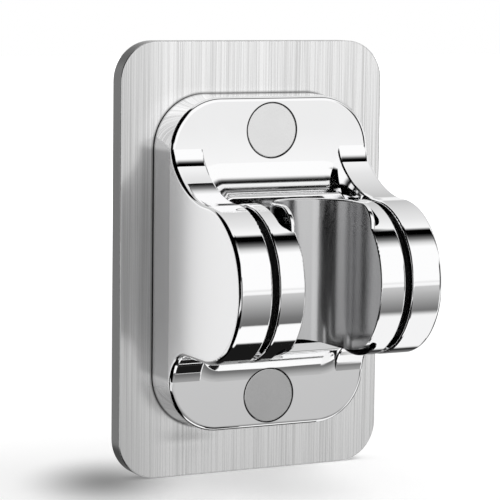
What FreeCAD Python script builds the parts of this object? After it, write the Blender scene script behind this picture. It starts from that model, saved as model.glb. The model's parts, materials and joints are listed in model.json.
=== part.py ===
import FreeCAD, Part
import math
import os

from FreeCAD import Vector

# Hand shower holder for a tiled wall, in millimetres.
# The wall face is the plane Y = 0, the holder stands out towards -Y, and +Z is up.
# The origin is the middle of the face that sticks to the wall.

# Adhesive pad and back plate
plate_width = 80.0
plate_height = 120.0
plate_thickness = 5.2
plate_corner_radius = 11.0
plate_edge_round = 0.35
pad_thickness = 0.8
pad_inset = 1.5

# Gasket under the housing
gasket_thickness = 0.4
gasket_inset = 0.9
gasket_band = 3.0

# Housing block
block_width = 59.8
block_height = 91.2
block_depth = 10.6
block_corner_radius = 14.6
block_collar_depth = 1.6
block_flare = 0.4
block_centre_height = -0.3
front_edge_round = 1.3
shell_wall = 3.0
shell_depth = 5.6
shell_corner_radius = 9.0
rib_thickness = 1.8
rib_spacing = 22.5
boss_wall = 2.4

# Pivot axis, measured from the wall and from the plate's middle
axis_distance = 38.2
axis_height = -2.4

# Ears
ear_radius = 20.9
ear_width = 9.4
ear_inner_round = 0.6
top_root_radius = 8.0
top_sweep_radius = 28.0
top_root_turn = 44.0
bottom_root_radius = 9.5
root_sink = 0.08

# Web with the round seat behind the cradle
web_half_height = 21.8
web_reach = 9.0
web_root_radius = 8.0
web_corner_radius = 2.6
web_edge_round = 0.7
web_gap = 2.0
seat_clearance = 0.3

# Screws under the caps
screw_spacing = 73.0
screw_centre_height = -0.4
screw_shank_radius = 2.0
screw_head_radius = 3.9
screw_head_height = 2.4
screw_head_round = 0.8
screw_socket_across = 2.5
screw_socket_depth = 1.4
screw_end_gap = 0.6
screw_hole_clearance = 0.25
thread_clearance = 0.05
washer_outer_radius = 4.5
washer_thickness = 0.8
cap_radius = 7.4
cap_thickness = 1.5
cap_skirt_height = 1.6
cap_skirt_wall = 1.0
cap_step_width = 0.9
cap_clearance = 0.12
cap_edge_round = 0.25
well_floor_thickness = 4.0

# Cradle
drum_radius = 20.9
drum_gap = 1.95
drum_outer_round = 0.7
trough_half_width = 11.1
trough_forward = 5.6
trough_edge_round = 0.45
tube_wall = 1.4
tube_top = 21.3
tube_front = 14.75
tube_corner_radius = 6.5
tube_foot_back = 15.9
tube_foot_depth = 18.8
tube_foot_lowest = 3.4
lip_round = 0.5
slot_width = 2.3
slot_front = 14.1
core_radius = 17.0

# Pivot pins and their springs
pin_radius = 2.5
pin_length = 6.6
pin_wall = 0.8
pin_cup_depth = 5.0
pin_nose_round = 0.5
pin_bore_depth = 6.9
pin_engagement = 2.2
pin_running_clearance = 0.05
pin_end_gap = 0.3
spring_wire_radius = 0.22
spring_coil_radius = 1.3
spring_turns = 4.0
spring_end_gap = 0.05

# Friction washers and the wave springs behind them
friction_outer_radius = 16.5
friction_inner_radius = 11.5
friction_thickness = 1.7
friction_seat_gap = 0.05
race_depth = 1.4
race_clearance = 0.3
wave_outer_radius = 15.5
wave_inner_radius = 13.0
wave_thickness = 0.3
wave_crests = 4
wave_points_per_crest = 8
wave_gap = 0.06

# Stop lugs on the drums and the slots that they run in
tilt_towards_wall = 20.0
tilt_away_from_wall = 40.0
stop_radius = 7.6
stop_lug_radius = 1.3
stop_reach = 1.6
stop_clearance = 0.3

# Places worked out from the sizes above
plate_back = -pad_thickness
plate_front = plate_back - plate_thickness
block_back = plate_front - gasket_thickness
block_front = block_back - block_depth
block_collar = block_front + block_collar_depth
side = block_width / 2
ear_inner = side - ear_width
axis_point = Vector(0, -axis_distance, axis_height)
web_half_width = ear_inner - web_gap
web_front = block_front - web_reach
drum_outer_face = ear_inner - drum_gap
trough_centre = -axis_distance - trough_forward
tube_outer = trough_half_width + tube_wall
tube_back = tube_outer - trough_forward
seat_radius = math.hypot(tube_back, tube_top) + seat_clearance
drum_inner_face = tube_outer + slot_width
well_floor = block_back - well_floor_thickness
race_floor = drum_outer_face - race_depth

# How far cutters reach past what they cut, and how far joined solids reach into each other
overshoot = 2.0
overlap = 0.5
tiny = 1e-3


def in_side_view(y, z):
    """A point of the plane X = 0, given from the pivot axis, with outward as negative y."""
    return Vector(0, axis_point.y + y, axis_point.z + z)


def rounded_rectangle(width, height, radius, y, z_middle):
    """A wire in a plane of constant Y."""
    a = width / 2
    b = height / 2
    radius = min(radius, a, b)
    k = radius * (1 - math.sqrt(0.5))
    edges = []
    corners = [(a, b), (-a, b), (-a, -b), (a, -b)]
    starts = []
    for index, (cx, cz) in enumerate(corners):
        sx = math.copysign(1, cx)
        sz = math.copysign(1, cz)
        on_side = Vector(cx, y, z_middle + cz - sz * radius)
        on_cap = Vector(cx - sx * radius, y, z_middle + cz)
        middle = Vector(cx - sx * k, y, z_middle + cz - sz * k)
        first, last = (on_side, on_cap) if index % 2 == 0 else (on_cap, on_side)
        starts.append((first, middle, last))
    for index, (first, middle, last) in enumerate(starts):
        edges.append(Part.Arc(first, middle, last).toShape())
        following = starts[(index + 1) % 4][0]
        if last.distanceToPoint(following) > tiny:
            edges.append(Part.LineSegment(last, following).toShape())
    return Part.Wire(edges)


def rounded_slab(width, height, radius, y_back, y_front, z_middle=0.0):
    face = Part.Face(rounded_rectangle(width, height, radius, y_back, z_middle))
    return face.extrude(Vector(0, y_front - y_back, 0))


def along_x(radius, x_from, x_to, centre=None):
    centre = centre or axis_point
    start = Vector(x_from, centre.y, centre.z)
    return Part.makeCylinder(radius, x_to - x_from, start, Vector(1, 0, 0))


def towards_front(radius, y_from, y_to, z):
    return Part.makeCylinder(radius, y_from - y_to, Vector(0, y_from, z), Vector(0, -1, 0))


def mirrored(shape):
    return shape.mirror(Vector(0, 0, 0), Vector(1, 0, 0))


def edges_where(shape, test):
    return [edge for edge in shape.Edges if test(edge)]


def lies_in_plane_y(edge, y):
    box = edge.BoundBox
    return abs(box.YMin - y) < tiny and abs(box.YMax - y) < tiny


def lies_in_plane_x(edge, x):
    box = edge.BoundBox
    return abs(box.XMin - x) < tiny and abs(box.XMax - x) < tiny


def screw_heights():
    return {
        "top": screw_centre_height + screw_spacing / 2,
        "bottom": screw_centre_height - screw_spacing / 2,
    }


# Plate, pad and gasket

def make_adhesive_pad():
    width = plate_width - 2 * pad_inset
    height = plate_height - 2 * pad_inset
    return rounded_slab(width, height, plate_corner_radius - pad_inset, 0.0, plate_back)


def make_back_plate():
    plate = rounded_slab(plate_width, plate_height, plate_corner_radius, plate_back, plate_front)
    rim = edges_where(plate, lambda edge: lies_in_plane_y(edge, plate_front))
    plate = plate.makeFillet(plate_edge_round, rim)
    for z in screw_heights().values():
        plate = plate.cut(towards_front(screw_shank_radius + thread_clearance, 0.0, block_back, z))
    return plate


def make_gasket():
    outer_width = block_width + 2 * block_flare - 2 * gasket_inset
    outer_height = block_height + 2 * block_flare - 2 * gasket_inset
    outer_radius = block_corner_radius + block_flare - gasket_inset
    gasket = rounded_slab(outer_width, outer_height, outer_radius,
                          plate_front, block_back, block_centre_height)
    opening = rounded_slab(outer_width - 2 * gasket_band, outer_height - 2 * gasket_band,
                           outer_radius - gasket_band, plate_front + overshoot,
                           block_back - overshoot, block_centre_height)
    return gasket.cut(opening)


# Housing

def make_block():
    """The tapered block with its straight collar and rounded edge at the front."""
    back = rounded_rectangle(block_width + 2 * block_flare, block_height + 2 * block_flare,
                             block_corner_radius + block_flare, block_back, block_centre_height)
    collar = rounded_rectangle(block_width, block_height, block_corner_radius,
                               block_collar, block_centre_height)
    skirt = Part.makeLoft([back, collar], True, True)
    block = skirt.fuse(front_column(block_front)).removeSplitter()
    rim = edges_where(block, lambda edge: lies_in_plane_y(edge, block_front))
    return block.makeFillet(front_edge_round, rim)


def front_column(y_front):
    """A column with the outline of the block's front, from its collar outwards."""
    return rounded_slab(block_width, block_height, block_corner_radius,
                        block_collar, y_front, block_centre_height)


def ear_outline():
    """The ear's outline: two hollow sweeps that run from the block's face into the round end."""
    face = block_front + root_sink - axis_point.y
    turn = math.radians(top_root_turn)
    centre_y = face - top_root_radius + (top_root_radius - top_sweep_radius) * math.cos(turn)
    reach = ear_radius + top_sweep_radius
    centre_z = math.sqrt(reach ** 2 - centre_y ** 2)
    root_z = centre_z + (top_root_radius - top_sweep_radius) * math.sin(turn)
    root_y = face - top_root_radius

    def on_root(angle):
        return in_side_view(root_y + top_root_radius * math.cos(angle),
                            root_z - top_root_radius * math.sin(angle))

    def on_sweep(angle):
        return in_side_view(centre_y + top_sweep_radius * math.cos(angle),
                            centre_z - top_sweep_radius * math.sin(angle))

    sweep_end = math.atan2(centre_z, -centre_y)
    top_touch = on_sweep(sweep_end)
    foot_y = face - bottom_root_radius
    foot_z = -ear_radius - bottom_root_radius

    def on_foot(angle):
        return in_side_view(foot_y + bottom_root_radius * math.cos(angle),
                            foot_z + bottom_root_radius * math.sin(angle))

    inside = face + block_collar_depth
    top_start = on_root(0)
    bottom_end = on_foot(0)
    edges = [
        Part.Arc(top_start, on_root(turn / 2), on_root(turn)),
        Part.Arc(on_root(turn), on_sweep((turn + sweep_end) / 2), top_touch),
        Part.Arc(top_touch, in_side_view(-ear_radius, 0), in_side_view(0, -ear_radius)),
        Part.LineSegment(in_side_view(0, -ear_radius), on_foot(math.pi / 2)),
        Part.Arc(on_foot(math.pi / 2), on_foot(math.pi / 4), bottom_end),
        Part.LineSegment(bottom_end, in_side_view(inside, foot_z)),
        Part.LineSegment(in_side_view(inside, foot_z), in_side_view(inside, root_z)),
        Part.LineSegment(in_side_view(inside, root_z), top_start),
    ]
    return Part.Wire([edge.toShape() for edge in edges])


def make_ear():
    """The ear on the +X side, with both rims rounded."""
    face = Part.Face(ear_outline())
    face.translate(Vector(ear_inner, 0, 0))
    ear = face.extrude(Vector(ear_width, 0, 0))
    ear = ear.common(front_column(axis_point.y - 2 * ear_radius))

    def in_front(edge):
        box = edge.BoundBox
        return box.YMax < block_front + tiny and box.YMin < block_front - tiny

    inner_rim = edges_where(ear, lambda edge: in_front(edge) and lies_in_plane_x(edge, ear_inner))
    ear = ear.makeFillet(ear_inner_round, inner_rim)
    outer_rim = edges_where(ear, lambda edge: in_front(edge)
                            and edge.BoundBox.XMin > side - front_edge_round)
    return ear.makeFillet(front_edge_round, outer_rim)


def make_web(block):
    """The block with the web on its face, rounded into it all the way round."""
    web = rounded_slab(2 * web_half_width, 2 * web_half_height, web_corner_radius,
                       block_collar, web_front, axis_point.z)
    joined = block.fuse(web).removeSplitter()

    def on_root(edge):
        box = edge.BoundBox
        inside_width = max(abs(box.XMin), abs(box.XMax)) < web_half_width + tiny
        inside_height = max(abs(box.ZMin - axis_point.z),
                            abs(box.ZMax - axis_point.z)) < web_half_height + tiny
        return lies_in_plane_y(edge, block_front) and inside_width and inside_height

    joined = joined.makeFillet(web_root_radius, edges_where(joined, on_root))
    rim = edges_where(joined, lambda edge: lies_in_plane_y(edge, web_front))
    return joined.makeFillet(web_edge_round, rim)


def make_shell_cavity():
    """The hollow at the back of the block, left by ribs and the two screw bosses."""
    cavity = rounded_slab(block_width - 2 * shell_wall, block_height - 2 * shell_wall,
                          shell_corner_radius, block_back, block_back - shell_depth,
                          block_centre_height)
    boss_radius = cap_radius + boss_wall
    for z in screw_heights().values():
        boss = towards_front(boss_radius, block_back + overshoot, block_back - shell_depth - overshoot, z)
        cavity = cavity.cut(boss)
    for x in (-ear_inner + rib_thickness, 0.0, ear_inner - rib_thickness):
        rib = Part.makeBox(rib_thickness, shell_depth + 2 * overshoot, block_height,
                           Vector(x - rib_thickness / 2, block_back - shell_depth - overshoot,
                                  block_centre_height - block_height / 2))
        cavity = cavity.cut(rib)
    for z in (-rib_spacing, 0.0, rib_spacing):
        rib = Part.makeBox(block_width, shell_depth + 2 * overshoot, rib_thickness,
                           Vector(-side, block_back - shell_depth - overshoot,
                                  block_centre_height + z - rib_thickness / 2))
        cavity = cavity.cut(rib)
    return cavity


def make_screw_well(z):
    """Stepped well for the cap, the screw head and the screw's shank."""
    seat = towards_front(cap_radius + cap_clearance, block_front + cap_thickness,
                         block_front - overshoot, z)
    well = towards_front(cap_radius - cap_step_width, well_floor, block_front, z)
    hole = towards_front(screw_shank_radius + screw_hole_clearance, block_back + overshoot,
                         block_front, z)
    return seat.fuse([well, hole])


def above_axis(distance, angle):
    """A point straight above the axis, turned with the cradle by an angle, top away from the wall."""
    turn = math.radians(angle)
    return Vector(0, axis_point.y - distance * math.sin(turn),
                  axis_point.z + distance * math.cos(turn))


def make_stop_slot():
    """Arc slot in the ear's inner face, as long as the cradle's travel, with round ends."""
    half_width = stop_lug_radius + stop_clearance
    near = stop_radius - half_width
    far = stop_radius + half_width
    first = -tilt_towards_wall
    last = tilt_away_from_wall
    middle = (first + last) / 2

    def past_end(angle, reach):
        turn = math.radians(angle)
        return above_axis(stop_radius, angle) - Vector(0, math.cos(turn), math.sin(turn)) * reach

    edges = [
        Part.Arc(above_axis(far, first), above_axis(far, middle), above_axis(far, last)),
        Part.Arc(above_axis(far, last), past_end(last, half_width), above_axis(near, last)),
        Part.Arc(above_axis(near, last), above_axis(near, middle), above_axis(near, first)),
        Part.Arc(above_axis(near, first), past_end(first, -half_width), above_axis(far, first)),
    ]
    face = Part.Face(Part.Wire([edge.toShape() for edge in edges]))
    face.translate(Vector(ear_inner - overshoot, 0, 0))
    return face.extrude(Vector(overshoot + stop_reach + stop_clearance, 0, 0))


def make_housing():
    body = make_web(make_block())
    ear = make_ear()
    body = body.fuse([ear, mirrored(ear)]).removeSplitter()
    body = body.cut(along_x(seat_radius, -ear_inner, ear_inner))
    body = body.cut(make_shell_cavity())
    for z in screw_heights().values():
        body = body.cut(make_screw_well(z))
    pin_hole = along_x(pin_radius + pin_running_clearance, ear_inner - overshoot,
                       ear_inner + pin_engagement + pin_end_gap)
    hollow = pin_hole.fuse(make_stop_slot())
    body = body.cut([hollow, mirrored(hollow)])
    return body


# Screws, washers and caps

def make_fixing_screw(z):
    head_back = well_floor - washer_thickness
    head_front = head_back - screw_head_height
    head = towards_front(screw_head_radius, head_back, head_front, z)
    rim = edges_where(head, lambda edge: lies_in_plane_y(edge, head_front))
    head = head.makeFillet(screw_head_round, rim)
    shank = towards_front(screw_shank_radius, plate_back - screw_end_gap, head_back - overlap, z)
    points = []
    across = screw_socket_across / math.sqrt(3)
    for corner in range(7):
        angle = math.radians(60 * corner)
        points.append(Vector(across * math.cos(angle), head_front, z + across * math.sin(angle)))
    socket = Part.Face(Part.makePolygon(points)).extrude(Vector(0, screw_socket_depth, 0))
    return head.fuse(shank).cut(socket).removeSplitter()


def make_screw_washer(z):
    disc = towards_front(washer_outer_radius, well_floor, well_floor - washer_thickness, z)
    hole = towards_front(screw_shank_radius + screw_hole_clearance, block_back, block_front, z)
    return disc.cut(hole)


def make_screw_cap(z):
    """Flat disc with a skirt that plugs the screw well."""
    disc = towards_front(cap_radius, block_front + cap_thickness, block_front, z)
    rim = edges_where(disc, lambda edge: lies_in_plane_y(edge, block_front))
    disc = disc.makeFillet(cap_edge_round, rim)
    skirt_radius = cap_radius - cap_step_width - cap_clearance
    skirt_back = block_front + cap_thickness + cap_skirt_height
    skirt = towards_front(skirt_radius, skirt_back, block_front + cap_thickness - overlap, z)
    hollow = towards_front(skirt_radius - cap_skirt_wall, skirt_back, block_front + cap_thickness, z)
    return disc.fuse(skirt).cut(hollow)


# Cradle

def trough_outline(half_width, z, front):
    """U-shaped wire seen from above: a half circle behind and straight sides to the front."""
    back = Vector(0, trough_centre + half_width, z)
    left = Vector(-half_width, trough_centre, z)
    right = Vector(half_width, trough_centre, z)
    front_right = Vector(half_width, front, z)
    front_left = Vector(-half_width, front, z)
    return Part.Wire([
        Part.Arc(left, back, right).toShape(),
        Part.LineSegment(right, front_right).toShape(),
        Part.LineSegment(front_right, front_left).toShape(),
        Part.LineSegment(front_left, left).toShape(),
    ])


def trough_column(half_width, front, bottom, top):
    face = Part.Face(trough_outline(half_width, bottom, front))
    return face.extrude(Vector(0, 0, top - bottom))


def make_slots(low, high):
    """What is cut away between the drums round their core, with round corners at the front."""
    front = axis_point.y - slot_front
    back = axis_point.y + 2 * drum_radius
    box = Part.makeBox(2 * drum_inner_face, back - front, high - low,
                       Vector(-drum_inner_face, front, low))
    corners = edges_where(box, lambda edge: lies_in_plane_y(edge, front)
                          and edge.BoundBox.ZLength > high - low - tiny)
    return box.makeFillet(slot_width, corners).cut(along_x(core_radius, -side, side))


def tube_side_outline():
    """The tube seen from the side: level top, round front corner, and an arched foot."""
    behind = tube_back + overshoot
    corner_y = tube_corner_radius - tube_front
    corner_z = tube_top - tube_corner_radius
    slant = tube_corner_radius * math.sqrt(0.5)
    foot_front = -math.sqrt(drum_radius ** 2 - tube_front ** 2)
    top_back = in_side_view(behind, tube_top)
    top_front = in_side_view(corner_y, tube_top)
    on_corner = in_side_view(corner_y - slant, corner_z + slant)
    front_top = in_side_view(-tube_front, corner_z)
    front_foot = in_side_view(-tube_front, foot_front)
    foot_middle = in_side_view(-tube_foot_lowest, -tube_foot_depth)
    foot_back = in_side_view(tube_back, -tube_foot_back)
    behind_foot = in_side_view(behind, -tube_foot_back)
    edges = [
        Part.LineSegment(top_back, top_front),
        Part.Arc(top_front, on_corner, front_top),
        Part.LineSegment(front_top, front_foot),
        Part.Arc(front_foot, foot_middle, foot_back),
        Part.LineSegment(foot_back, behind_foot),
        Part.LineSegment(behind_foot, top_back),
    ]
    return Part.Wire([edge.toShape() for edge in edges])


def make_tube(low, high):
    """The trough's own wall, which stands proud of the drums above, with a rounded lip."""
    tube = trough_column(tube_outer, axis_point.y - 2 * drum_radius, low, high)
    tube = tube.cut(trough_column(trough_half_width, axis_point.y - 3 * drum_radius, low, high))
    side_face = Part.Face(tube_side_outline())
    side_face.translate(Vector(-side, 0, 0))
    tube = tube.common(side_face.extrude(Vector(2 * side, 0, 0)))
    corner_start = axis_point.y + tube_corner_radius - tube_front
    top = axis_point.z + tube_top
    front = axis_point.y - tube_front

    def on_lip(edge):
        box = edge.BoundBox
        in_top = box.ZMin > top - tiny
        in_corner = box.YMax < corner_start + tiny and box.ZMin > axis_point.z
        in_front = box.YMax < front + tiny
        crosses_wall = tiny < box.XLength < 2 * tube_wall
        return (in_top or in_corner or in_front) and not crosses_wall

    return tube.makeFillet(lip_round, edges_where(tube, on_lip))


def make_cradle():
    """Two drums on a thinner core, with the trough's tube standing in it."""
    low = axis_point.z - 2 * drum_radius
    high = axis_point.z + 2 * drum_radius
    clear_front = axis_point.y - 2 * drum_radius
    drum = along_x(drum_radius, -drum_outer_face, drum_outer_face)
    rims = edges_where(drum, lambda edge: lies_in_plane_x(edge, drum_outer_face)
                       or lies_in_plane_x(edge, -drum_outer_face))
    drum = drum.makeFillet(drum_outer_round, rims)
    trough = trough_column(trough_half_width, clear_front, low, high)
    drum = drum.cut(trough).cut(make_slots(low, high))

    def on_trough_rim(edge):
        box = edge.BoundBox
        on_wall = abs(abs(box.XMin) - trough_half_width) < tiny and box.XLength < tiny
        return on_wall and box.ZLength > drum_radius

    drum = drum.makeFillet(trough_edge_round, edges_where(drum, on_trough_rim))
    return drum.fuse(make_tube(low, high))


def make_cradle_details(body):
    """Bores, races and stop lugs on the two outer faces of the drums."""
    bore = along_x(pin_radius + pin_running_clearance, drum_outer_face - pin_bore_depth,
                   drum_outer_face + overshoot)
    race = along_x(friction_outer_radius + race_clearance, race_floor, drum_outer_face + overshoot)
    race = race.cut(along_x(friction_inner_radius - race_clearance, race_floor,
                            drum_outer_face + overshoot))
    lug = along_x(stop_lug_radius, drum_outer_face - overlap, ear_inner + stop_reach,
                  above_axis(stop_radius, 0))
    hollow = bore.fuse(race)
    body = body.cut([hollow, mirrored(hollow)])
    return body.fuse([lug, mirrored(lug)])


# Pivot pins, springs and friction washers, all for the +X side

def make_pivot_pin():
    """Cup-shaped stub axle, hollow towards the drum for its spring."""
    nose = ear_inner + pin_engagement
    pin = along_x(pin_radius, nose - pin_length, nose)
    rim = edges_where(pin, lambda edge: lies_in_plane_x(edge, nose))
    pin = pin.makeFillet(pin_nose_round, rim)
    return pin.cut(along_x(pin_radius - pin_wall, nose - pin_length, nose - pin_length + pin_cup_depth))


def make_pin_spring():
    """Compression spring between the drum's bore and the bottom of the pin's cup."""
    nose = ear_inner + pin_engagement
    start = drum_outer_face - pin_bore_depth + spring_wire_radius + spring_end_gap
    end = nose - pin_length + pin_cup_depth - spring_wire_radius - spring_end_gap
    length = end - start
    helix = Part.makeHelix(length / spring_turns, length, spring_coil_radius)
    profile = Part.Wire([Part.Circle(Vector(spring_coil_radius, 0, 0), Vector(0, 1, 0),
                                     spring_wire_radius).toShape()])
    spring = Part.Wire(helix.Edges).makePipeShell([profile], True, True)
    spring.rotate(Vector(0, 0, 0), Vector(0, 1, 0), 90)
    spring.translate(Vector(start, axis_point.y, axis_point.z))
    return spring


def make_friction_washer():
    front = ear_inner - friction_seat_gap
    ring = along_x(friction_outer_radius, front - friction_thickness, front)
    return ring.cut(along_x(friction_inner_radius, front - friction_thickness, front))


def wave_edge(radius, x_middle, swing):
    """Closed wavy curve that rises and falls along X as it goes round."""
    points = []
    steps = wave_crests * wave_points_per_crest
    for step in range(steps):
        angle = 2 * math.pi * step / steps
        points.append(Vector(x_middle + swing * math.cos(wave_crests * angle),
                             axis_point.y + radius * math.cos(angle),
                             axis_point.z + radius * math.sin(angle)))
    curve = Part.BSplineCurve()
    curve.interpolate(points, PeriodicFlag=True)
    return curve.toShape()


def make_wave_spring():
    """Wavy washer that fills the room between the race's floor and the friction washer."""
    washer_back = ear_inner - friction_seat_gap - friction_thickness
    room = washer_back - race_floor - 2 * wave_gap
    swing = (room - wave_thickness) / 2
    x_middle = race_floor + wave_gap + swing
    inner = wave_edge(wave_inner_radius, x_middle, swing)
    outer = wave_edge(wave_outer_radius, x_middle, swing)
    return Part.makeRuledSurface(inner, outer).extrude(Vector(wave_thickness, 0, 0))


def build_parts():
    parts = {
        "adhesive_pad": make_adhesive_pad(),
        "back_plate": make_back_plate(),
        "housing_gasket": make_gasket(),
        "housing": make_housing(),
        "cradle": make_cradle_details(make_cradle()),
    }
    for place, z in screw_heights().items():
        parts["fixing_screw_" + place] = make_fixing_screw(z)
        parts["screw_washer_" + place] = make_screw_washer(z)
        parts["screw_cap_" + place] = make_screw_cap(z)
    one_side = {
        "pivot_pin": make_pivot_pin(),
        "pin_spring": make_pin_spring(),
        "friction_washer": make_friction_washer(),
        "wave_spring": make_wave_spring(),
    }
    for name, shape in one_side.items():
        parts[name + "_right"] = shape
        parts[name + "_left"] = mirrored(shape)
    return parts


def main():
    os.makedirs("parts", exist_ok=True)
    for name, shape in build_parts().items():
        solids = shape.Solids
        if len(solids) == 1:
            shape = solids[0]
        print(name, "solids", len(solids), "valid", shape.isValid(),
              "volume", round(shape.Volume, 1))
        shape.exportStep("parts/" + name + ".step")


main()
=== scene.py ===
import json
import math

import bmesh
import bpy
from mathutils import Matrix, Vector

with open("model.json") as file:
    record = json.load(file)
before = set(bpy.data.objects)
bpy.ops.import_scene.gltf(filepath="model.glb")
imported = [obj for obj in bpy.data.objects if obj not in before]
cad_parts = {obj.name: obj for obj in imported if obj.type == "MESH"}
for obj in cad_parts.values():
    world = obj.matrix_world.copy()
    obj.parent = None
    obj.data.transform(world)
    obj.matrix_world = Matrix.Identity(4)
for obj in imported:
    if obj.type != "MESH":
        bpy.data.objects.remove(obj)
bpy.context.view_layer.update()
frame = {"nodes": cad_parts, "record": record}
print("frame loaded,", len(frame["nodes"]), "nodes")


# A shader socket that takes part in sums, so masks are written as expressions
class Wire:
    def __init__(self, tree, socket=None):
        self.tree = tree
        self.socket = socket

    def node(self, kind, settings=None, inputs=None, output=0):
        made = self.tree.nodes.new(kind)
        for name, value in (settings or {}).items():
            if name == "stops":
                fillRamp(made.color_ramp, value)
            else:
                setattr(made, name, value)
        for name, value in (inputs or {}).items():
            if isinstance(value, Wire):
                self.tree.links.new(value.socket, made.inputs[name])
            else:
                made.inputs[name].default_value = value
        return Wire(self.tree, made.outputs[output])

    def maths(self, operation, *values):
        return self.node("ShaderNodeMath", {"operation": operation}, dict(enumerate(values)))

    def __add__(self, other):
        return self.maths("ADD", self, other)

    def __radd__(self, other):
        return self.maths("ADD", other, self)

    def __sub__(self, other):
        return self.maths("SUBTRACT", self, other)

    def __rsub__(self, other):
        return self.maths("SUBTRACT", other, self)

    def __mul__(self, other):
        return self.maths("MULTIPLY", self, other)

    def __rmul__(self, other):
        return self.maths("MULTIPLY", other, self)

    def __neg__(self):
        return self.maths("MULTIPLY", self, -1.0)

    def __abs__(self):
        return self.maths("ABSOLUTE", self)

    # the larger of this and another
    def atLeast(self, other):
        return self.maths("MAXIMUM", self, other)

    # length of the slope that this and another make at right angles
    def slope(self, other):
        return self.maths("SQRT", self * self + other * other)

    # 0 below low, 1 above high, and an even rise between
    def rise(self, low, high):
        limits = {"Value": self, "From Min": low, "From Max": high}
        return self.node("ShaderNodeMapRange", {"interpolation_type": "SMOOTHSTEP"}, limits)

    # 1 between low and high, with soft ends
    def band(self, low, high, soft):
        return self.rise(low - soft, low + soft) * (1 - self.rise(high - soft, high + soft))

    # inputs 6 and 7 and output 2 are the colour ones
    def mixed(self, mask, first, second):
        parts = {"Factor": mask, 6: first, 7: second}
        return self.node("ShaderNodeMix", {"data_type": "RGBA"}, parts, output=2)


def fillRamp(ramp, stops):
    while len(ramp.elements) < len(stops):
        ramp.elements.new(0.5)
    for element, (place, shade) in zip(ramp.elements, stops):
        element.position = place
        element.color = grey(shade)


def splitAxes(wire, vector):
    split = wire.node("ShaderNodeSeparateXYZ", inputs={0: vector})
    outputs = split.socket.node.outputs
    return [Wire(wire.tree, outputs[axis]) for axis in range(3)]


def coordinates(wire):
    place = wire.node("ShaderNodeTexCoord", output="Object")
    return place, splitAxes(wire, place)


def noise(wire, place, stretch, detail=2.0, roughness=0.5):
    scaled = wire.node("ShaderNodeMapping", inputs={"Vector": place, "Scale": stretch})
    parts = {"Vector": scaled, "Scale": 1.0, "Detail": detail, "Roughness": roughness}
    return wire.node("ShaderNodeTexNoise", inputs=parts)


def newMaterial(name, settings):
    made = bpy.data.materials.new(name)
    made.use_nodes = True
    tree = made.node_tree
    tree.nodes.clear()
    output = tree.nodes.new("ShaderNodeOutputMaterial")
    shader = tree.nodes.new("ShaderNodeBsdfPrincipled")
    tree.links.new(shader.outputs[0], output.inputs[0])
    for socket, value in settings.items():
        shader.inputs[socket].default_value = value
    return made, Wire(tree), shader


def feed(shader, socket, wire):
    wire.tree.links.new(wire.socket, shader.inputs[socket])


def bump(wire, height, distance):
    parts = {"Height": height, "Distance": distance, "Strength": 1.0}
    return wire.node("ShaderNodeBump", inputs=parts)


def grey(value):
    return (value, value, value, 1)


# Bright plating with a faint unevenness, painted shade on the straight part of the block's sides,
# satin on the outer sides and a little on the web, and painted shade in the gap round each cap
chromeLook = {
    "base": (0.98, 0.98, 0.985, 1),
    "roughness": 0.025,
    "marks": (90, 90, 40), "markLevels": (0.5, 0.75), "markSatin": 0.05,
    "peel": (170, 170, 170), "peelDepth": 0.0000012,
    "side": (0.64, 0.64, 0.645, 1), "sideSatin": 0.08,
    "sideFrom": (-0.0160, -0.0156), "sideEnd": (0.0302, 0.0318),
    "capHeight": 0.0365, "capCentre": -0.0004,
    "ring": (0.00742, 0.00772, 0.00004), "ringShade": grey(0.04),
    "flank": (0.02984, 0.02989), "flankSatin": 0.30,
    "webSide": (0.0186, 0.0198), "webFront": (-0.0186, -0.0172), "webSatin": 0.085,
}


def makeChrome():
    look = chromeLook
    made, wire, shader = newMaterial("brightChrome", {"Metallic": 1.0})
    place, (x, y, z) = coordinates(wire)
    # painted shade: the straight part of the block's sides is made greyer
    side = y.rise(*look["sideFrom"]) * (1 - abs(z).rise(*look["sideEnd"]))
    plated = wire.mixed(side, look["base"], look["side"])
    # painted shade: a dark ring in the gap round each cap
    fromCap = abs(z - look["capCentre"]) - look["capHeight"]
    ring = x.slope(fromCap).band(*look["ring"])
    feed(shader, "Base Color", wire.mixed(ring, plated, look["ringShade"]))
    marks = noise(wire, place, look["marks"], detail=4.0).rise(*look["markLevels"])
    flank = abs(x).rise(*look["flank"])
    web = (1 - abs(x).rise(*look["webSide"])) * (1 - y.rise(*look["webFront"]))
    satin = look["markSatin"] * marks + look["sideSatin"] * side
    satin = satin.atLeast(look["flankSatin"] * flank).atLeast(look["webSatin"] * web)
    feed(shader, "Roughness", satin + look["roughness"])
    peel = noise(wire, place, look["peel"], detail=1.0)
    feed(shader, "Normal", bump(wire, peel, look["peelDepth"]))
    return made


# The cradle's plating: painted shade inside the trough, which is also a little satin where the
# shower's cone rubs, and painted shade in the slots beside it
cradleLook = {
    "roughness": 0.03,
    "centre": -0.0438, "inside": (0.01118, 0.01126),
    "troughShade": (0.60, 0.60, 0.605, 1), "wornSatin": 0.115,
    "rubs": (260, 260, 30), "rubLevels": (0.4, 0.7), "rubSatin": 0.05,
    "slot": (0.01244, 0.01486, 0.00004), "slotShade": grey(0.03),
    "axis": (-0.0382, -0.0024), "drumSkin": (0.0203, 0.0207),
}


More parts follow.
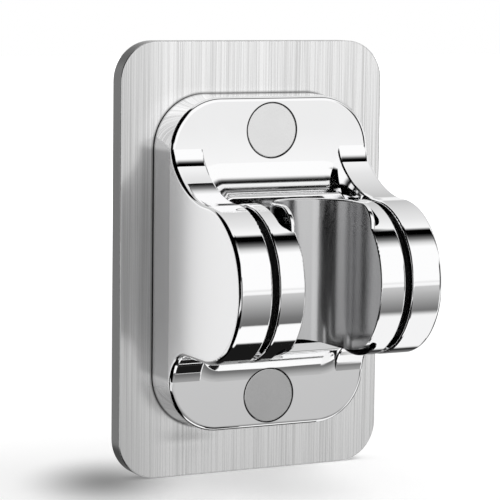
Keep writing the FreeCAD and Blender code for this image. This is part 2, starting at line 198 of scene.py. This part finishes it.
def makeCradleChrome():
    look = cradleLook
    made, wire, shader = newMaterial("cradleChrome", {"Metallic": 1.0})
    place, (x, y, z) = coordinates(wire)
    behind = (y - look["centre"]).atLeast(0.0)
    inside = 1 - x.slope(behind).rise(*look["inside"])
    rubs = noise(wire, place, look["rubs"], detail=3.0).rise(*look["rubLevels"])
    satin = inside * (look["wornSatin"] + look["rubSatin"] * rubs)
    feed(shader, "Roughness", satin + look["roughness"])
    axisY, axisZ = look["axis"]
    # painted shade: the slots beside the trough are made dark
    sunk = 1 - (y - axisY).slope(z - axisZ).rise(*look["drumSkin"])
    slot = sunk * abs(x).band(*look["slot"])
    # painted shade: the inside of the trough is made greyer
    plated = wire.mixed(inside, chromeLook["base"], look["troughShade"])
    feed(shader, "Base Color", wire.mixed(slot, plated, look["slotShade"]))
    peel = noise(wire, place, chromeLook["peel"], detail=1.0)
    feed(shader, "Normal", bump(wire, peel, chromeLook["peelDepth"]))
    return made


# Vertical brushing: fine lines and broader streaks, painted shade towards the left edge, painted
# contact shade in a band round the block, and a dark cut edge all round
plateLook = {
    "pale": grey(1.00), "dark": grey(0.76), "streakLevels": (0.37, 0.57),
    "fineLines": (3000, 3000, 14), "fineShare": 0.62,
    "broadLines": (900, 900, 8), "broadShare": 0.28,
    "clouds": (22, 22, 10), "cloudShare": 0.10,
    "roughness": 0.23, "roughSpread": 0.16, "depth": 0.000011,
    "edge": grey(0.11), "edgeFrom": (-0.0058, -0.0056),
    "block": (0.0303, 0.0459, 0.0150), "blockHeight": -0.0003,
    "contactShade": (-0.0002, 0.0009), "contactShadeColour": grey(0.06),
    "leftSide": (-0.038, -0.024), "leftShade": 0.24,
}


def makeBrushedPlate():
    look = plateLook
    made, wire, shader = newMaterial("brushedPlate", {"Metallic": 1.0})
    place, (x, y, z) = coordinates(wire)
    fine = noise(wire, place, look["fineLines"], detail=3.0, roughness=0.6)
    broad = noise(wire, place, look["broadLines"])
    clouds = noise(wire, place, look["clouds"], detail=1.0)
    streak = look["fineShare"] * fine + look["broadShare"] * broad + look["cloudShare"] * clouds
    brushed = wire.mixed(streak.rise(*look["streakLevels"]), look["dark"], look["pale"])
    halfWidth, halfHeight, corner = look["block"]
    fromSide = (abs(x) - (halfWidth - corner)).atLeast(0.0)
    fromEnd = (abs(z - look["blockHeight"]) - (halfHeight - corner)).atLeast(0.0)
    # painted contact shade: the plate is made dark in a band round the block's outline
    contactShade = 1 - (fromSide.slope(fromEnd) - corner).rise(*look["contactShade"])
    brushed = wire.mixed(contactShade, brushed, look["contactShadeColour"])
    # painted shade: the plate is made darker towards its left edge
    left = (1 - x.rise(*look["leftSide"])) * look["leftShade"]
    brushed = wire.mixed(left, brushed, grey(0.0))
    feed(shader, "Base Color", wire.mixed(y.rise(*look["edgeFrom"]), brushed, look["edge"]))
    feed(shader, "Roughness", look["roughness"] + look["roughSpread"] * (0.5 - streak))
    feed(shader, "Normal", bump(wire, streak, look["depth"]))
    return made


# Satin silver-grey caps, the upper one painted paler as light and the lower one painted darker as
# shade
capLook = {
    "upper": grey(0.86), "lower": grey(0.60), "between": (-0.01, 0.01),
    "clouds": (160, 160, 160), "cloudLevels": (0.3, 0.7), "cloud": grey(0.72), "cloudShare": 0.15,
    "metallic": 0.9, "roughness": 0.13, "roughSpread": 0.08,
    "grain": (3200, 3200, 3200), "depth": 0.000003,
}


def makeCapSatin():
    look = capLook
    made, wire, shader = newMaterial("capSatin", {"Metallic": look["metallic"]})
    place, (x, y, z) = coordinates(wire)
    grain = noise(wire, place, look["grain"])
    clouds = noise(wire, place, look["clouds"]).rise(*look["cloudLevels"])
    # painted light and shade: the upper cap is made paler than the lower
    disc = wire.mixed(z.rise(*look["between"]), look["lower"], look["upper"])
    clouded = look["cloudShare"] * (1 - clouds)
    feed(shader, "Base Color", wire.mixed(clouded, disc, look["cloud"]))
    feed(shader, "Roughness", look["roughness"] + look["roughSpread"] * (grain - 0.5))
    feed(shader, "Normal", bump(wire, grain, look["depth"]))
    return made


# Plain technical finishes for what sits inside, and for the pad
innerLooks = {
    "screwSteel": {"base": grey(0.56), "tint": grey(0.44), "metallic": 1.0, "specular": 0.5,
                   "roughness": 0.28, "grain": (1500, 200, 1500), "depth": 0.000008},
    "springSteel": {"base": grey(0.46), "tint": grey(0.34), "metallic": 1.0, "specular": 0.5,
                    "roughness": 0.24, "grain": (900, 900, 900), "depth": 0.000004},
    "blackNylon": {"base": grey(0.004), "tint": grey(0.008), "metallic": 0.0, "specular": 0.12,
                   "roughness": 0.60, "grain": (1100, 1100, 1100), "depth": 0.000014},
    "blackRubber": {"base": grey(0.014), "tint": grey(0.022), "metallic": 0.0, "specular": 0.5,
                    "roughness": 0.66, "grain": (700, 700, 700), "depth": 0.000020},
    "padFoam": {"base": grey(0.72), "tint": grey(0.60), "metallic": 0.0, "specular": 0.5,
                "roughness": 0.82, "grain": (1300, 1300, 1300), "depth": 0.000060},
}
innerGrain = {"levels": (0.35, 0.65), "roughSpread": 0.2}


def makeInner(name):
    look = innerLooks[name]
    settings = {"Metallic": look["metallic"], "Specular IOR Level": look["specular"]}
    made, wire, shader = newMaterial(name, settings)
    place = coordinates(wire)[0]
    grain = noise(wire, place, look["grain"], detail=3.0)
    tinted = wire.mixed(grain.rise(*innerGrain["levels"]), look["tint"], look["base"])
    feed(shader, "Base Color", tinted)
    feed(shader, "Roughness", look["roughness"] + innerGrain["roughSpread"] * (grain - 0.5))
    feed(shader, "Normal", bump(wire, grain, look["depth"]))
    return made


finishes = {
    "bright_chrome": makeChrome(),
    "cradle_chrome": makeCradleChrome(),
    "brushed_plate": makeBrushedPlate(),
    "cap_satin": makeCapSatin(),
    "screw_steel": makeInner("screwSteel"),
    "spring_steel": makeInner("springSteel"),
    "black_nylon": makeInner("blackNylon"),
    "black_rubber": makeInner("blackRubber"),
    "pad_foam": makeInner("padFoam"),
}
for part in frame["record"]["subparts"]:
    for slot in frame["nodes"][part["node"]].material_slots:
        slot.material = finishes[part["material_slot"]]
print("materials made:", len(finishes))


# Camera: to the left of the part and a little above it
cameraPlace = {
    "azimuth": -26.58,
    "elevation": 6.75,
    "roll": 0.71,
    "distance": 0.6509,
    "toRight": 0.00203,
    "toTop": 0.00140,
    "lens": 167.3,
    "clip": (0.01, 20),
}


def addObject(name, data):
    piece = bpy.data.objects.new(name, data)
    bpy.context.scene.collection.objects.link(piece)
    return piece


def makeCamera():
    turn = math.radians(-cameraPlace["azimuth"])
    lift = math.radians(cameraPlace["elevation"])
    tilt = math.radians(cameraPlace["roll"])
    ahead = math.cos(lift)
    look = Vector((math.sin(turn) * ahead, math.cos(turn) * ahead, -math.sin(lift)))
    level = Vector((math.cos(turn), -math.sin(turn), 0))
    upright = level.cross(look)
    right = level * math.cos(tilt) + upright * math.sin(tilt)
    up = upright * math.cos(tilt) - level * math.sin(tilt)
    data = bpy.data.cameras.new("camera")
    data.lens = cameraPlace["lens"]
    data.clip_start, data.clip_end = cameraPlace["clip"]
    camera = addObject("camera", data)
    spot = right * cameraPlace["toRight"] + up * cameraPlace["toTop"]
    spot -= look * cameraPlace["distance"]
    columns = Matrix((right, up, -look)).transposed().to_4x4()
    camera.matrix_world = Matrix.Translation(spot) @ columns
    bpy.context.scene.camera = camera


# Pale floor under the plate's lower edge: white to the camera, with the object's soft shadow,
# and a painted shadow close to the plate's left corner
floorLook = {
    "height": -0.06005, "size": 3.0, "white": grey(0.80), "roughness": 0.9, "specular": 0.1,
    "nearLift": grey(0.40), "farLift": grey(1.0), "liftFrom": (0.18, 0.70),
    "corner": (-0.0435, -0.0035), "spread": (0.026, 0.038), "cornerShade": 0.66,
}


def makeFloor():
    look = floorLook
    shape = bmesh.new()
    bmesh.ops.create_grid(shape, x_segments=1, y_segments=1, size=look["size"])
    bmesh.ops.translate(shape, verts=shape.verts, vec=(0, 0, look["height"]))
    mesh = bpy.data.meshes.new("floor")
    shape.to_mesh(mesh)
    shape.free()
    floor = addObject("floor", mesh)
    settings = {"Roughness": look["roughness"], "Specular IOR Level": look["specular"],
                "Emission Strength": 1.0}
    made, wire, shader = newMaterial("paleFloor", settings)
    x, y, z = coordinates(wire)[1]
    lift = wire.mixed(x.slope(y).rise(*look["liftFrom"]), look["nearLift"], look["farLift"])
    turn = math.radians(-cameraPlace["azimuth"])
    cornerX, cornerY = x - look["corner"][0], y - look["corner"][1]
    wide, deep = look["spread"]
    aside = (cornerX * math.cos(turn) - cornerY * math.sin(turn)) * (1 / wide)
    away = (cornerX * math.sin(turn) + cornerY * math.cos(turn)) * (1 / deep)
    # painted shadow: the floor is made darker in a soft patch at the plate's left corner
    shade = (1 - aside.slope(away).rise(0.0, 1.0)) * look["cornerShade"]
    cameraRay = wire.node("ShaderNodeLightPath", output="Is Camera Ray")
    lifted = wire.mixed(shade, lift, grey(0.0))
    feed(shader, "Emission Color", wire.mixed(cameraRay, grey(0.0), lifted))
    feed(shader, "Base Color", wire.mixed(shade, look["white"], grey(0.0)))
    mesh.materials.append(made)
    floor.visible_glossy = False


# Dark cards that only mirrors see: one beside the lens for the left ear's side and the plate by
# it, and one lying below the left ear's lower root
cards = {
    "earCard": {"centre": (-0.080, -0.130, -0.012), "size": (0.040, 0.076),
                "stand": 90.0, "turn": -26.0, "shade": grey(0.16)},
    "rootCard": {"centre": (-0.0108, -0.0270, -0.0540), "size": (0.0125, 0.0150),
                 "stand": 7.6, "turn": 0.0, "shade": grey(0.01)},
}


def makeCard(name):
    look = cards[name]
    shape = bmesh.new()
    bmesh.ops.create_grid(shape, x_segments=1, y_segments=1, size=0.5)
    bmesh.ops.scale(shape, vec=(*look["size"], 1), verts=shape.verts)
    stood = Matrix.Rotation(math.radians(look["stand"]), 4, "X")
    turned = Matrix.Rotation(math.radians(look["turn"]), 4, "Z")
    placed = Matrix.Translation(look["centre"]) @ turned @ stood
    bmesh.ops.transform(shape, matrix=placed, verts=shape.verts)
    mesh = bpy.data.meshes.new(name)
    shape.to_mesh(mesh)
    shape.free()
    card = addObject(name, mesh)
    settings = {"Base Color": grey(0.0), "Specular IOR Level": 0.0,
                "Emission Color": look["shade"], "Emission Strength": 1.0}
    mesh.materials.append(newMaterial(name, settings)[0])
    card.visible_camera = False
    card.visible_diffuse = False
    card.visible_shadow = False


# What the plating mirrors, by angle round the part's X axis: 0 in front, positive over the top
studioBands = [
    (-180, 0.45), (-152, 0.20), (-135, 0.01), (-89, 0.01), (-86, 1.00), (-57, 1.00),
    (-55, 0.14), (-45, 0.19), (-30, 0.34), (-9.6, 0.58), (-8.8, 0.88), (-6.0, 1.00),
    (-4.6, 0.90), (-3.6, 0.80), (-1, 1.00), (50, 1.00), (56, 0.70), (62, 0.22), (67, 0.04),
    (70, 0.00), (78, 0.00), (82, 0.96), (100, 0.80), (140, 0.62), (180, 0.45),
]
# What stands round the part near its own height, by compass angle: 0 in front, positive to its
# right
studioSides = [
    (-180, 1.00), (-152.4, 1.00), (-150.5, 0.95), (-136, 0.85), (-123, 0.60), (-117, 0.00),
    (-58, 0.00), (-53, 0.75), (-45, 0.95), (-14, 1.00), (35, 1.00), (39, 0.00), (65, 0.00),
    (70, 0.95), (180, 0.90),
]
# How far the sides reach up and down, and the gap in them. From lowerFrom rightwards they end
# sooner below the part
sidesReach = {"height": (0.24, 0.36), "gap": (-16, 33, 2), "lower": 0.075, "lowerFrom": (-84, -76)}
# Dark walls to the left, above and below what the sides hold
darkLeft = {"x": (-0.36, -0.24), "above": (0.10, 0.16), "below": (-0.44, -0.37),
            "from": (-0.74, -0.68), "to": (0.74, 0.84)}
# Pale sheets: on both sides of the front, under the right half, and behind to the left
paleAside = {"x": (0.64, 0.72), "front": (0.15, 0.30), "height": (-0.52, -0.15, 0.03),
             "shade": grey(0.85)}
paleUnder = {"x": (0.468, 0.486), "below": (-0.72, -0.62), "shade": grey(0.92)}
paleBehind = {"x": (-0.60, -0.52), "front": (-0.47, -0.40), "height": (-0.72, -0.14, 0.03),
              "shade": grey(0.80)}
studioLight = {"seen": 1.0, "soft": 0.60, "mirrored": 1.0}


def ramp(wire, angle, stops):
    places = [((turn + 180) / 360, shade) for turn, shade in stops]
    inputs = {0: (angle + 180) * (1 / 360)}
    return wire.node("ShaderNodeValToRGB", {"stops": places}, inputs)


def degrees(wire, first, second):
    return wire.maths("ARCTAN2", first, second) * (180 / math.pi)


def background(wire, shade, strength):
    return wire.node("ShaderNodeBackground", inputs={"Color": shade, "Strength": strength})


def makeStudio():
    world = bpy.data.worlds.new("studio")
    bpy.context.scene.world = world
    world.use_nodes = True
    tree = world.node_tree
    tree.nodes.clear()
    wire = Wire(tree)
    direction = wire.node("ShaderNodeTexCoord", output="Generated")
    x, y, z = splitAxes(wire, direction)
    front = -y
    roll = degrees(wire, z, front)
    compass = degrees(wire, x, front)
    sheets = abs(x).rise(*paleAside["x"]) * front.rise(*paleAside["front"])
    sheets = sheets * z.band(*paleAside["height"])
    shaded = wire.mixed(sheets, ramp(wire, roll, studioBands), paleAside["shade"])
    lower = sidesReach["lower"] * compass.rise(*sidesReach["lowerFrom"])
    sides = 1 - z.atLeast(lower - z).rise(*sidesReach["height"])
    sides = sides * (1 - compass.band(*sidesReach["gap"]))
    shaded = wire.mixed(sides, shaded, ramp(wire, compass, studioSides))
    walls = 1 - x.rise(*darkLeft["x"])
    walls = walls * front.rise(*darkLeft["from"]) * (1 - front.rise(*darkLeft["to"]))
    walls = walls * z.rise(*darkLeft["above"]).atLeast(1 - z.rise(*darkLeft["below"]))
    shaded = wire.mixed(walls, shaded, grey(0.0))
    under = x.rise(*paleUnder["x"]) * (1 - z.rise(*paleUnder["below"]))
    shaded = wire.mixed(under, shaded, paleUnder["shade"])
    behind = (1 - x.rise(*paleBehind["x"])) * (1 - front.rise(*paleBehind["front"]))
    behind = behind * z.band(*paleBehind["height"])
    shaded = wire.mixed(behind, shaded, paleBehind["shade"])
    seen = background(wire, grey(1.0), studioLight["seen"])
    soft = background(wire, grey(1.0), studioLight["soft"])
    mirrored = background(wire, shaded, studioLight["mirrored"])
    glossyRay = wire.node("ShaderNodeLightPath", output="Is Glossy Ray")
    cameraRay = wire.node("ShaderNodeLightPath", output="Is Camera Ray")
    lit = wire.node("ShaderNodeMixShader", inputs={0: glossyRay, 1: soft, 2: mirrored})
    whole = wire.node("ShaderNodeMixShader", inputs={0: cameraRay, 1: lit, 2: seen})
    output = tree.nodes.new("ShaderNodeOutputWorld")
    tree.links.new(whole.socket, output.inputs[0])


# One soft lamp, above and to the right
rightLamp = {"from": (0.42, -0.22, 0.76), "at": (0, -0.02, -0.03), "size": 0.45, "power": 2.6}


def makeLamp():
    light = bpy.data.lights.new("rightLamp", "AREA")
    light.energy = rightLamp["power"]
    light.size = rightLamp["size"]
    lamp = addObject("rightLamp", light)
    lamp.location = rightLamp["from"]
    aim = Vector(rightLamp["at"]) - Vector(rightLamp["from"])
    lamp.rotation_euler = aim.to_track_quat("-Z", "Y").to_euler()
    lamp.visible_glossy = False


makeCamera()
print("camera placed")
makeFloor()
for name in cards:
    makeCard(name)
print("floor and cards made")
makeStudio()
makeLamp()
bpy.context.scene.view_settings.view_transform = "Standard"
print("studio and lamp made")
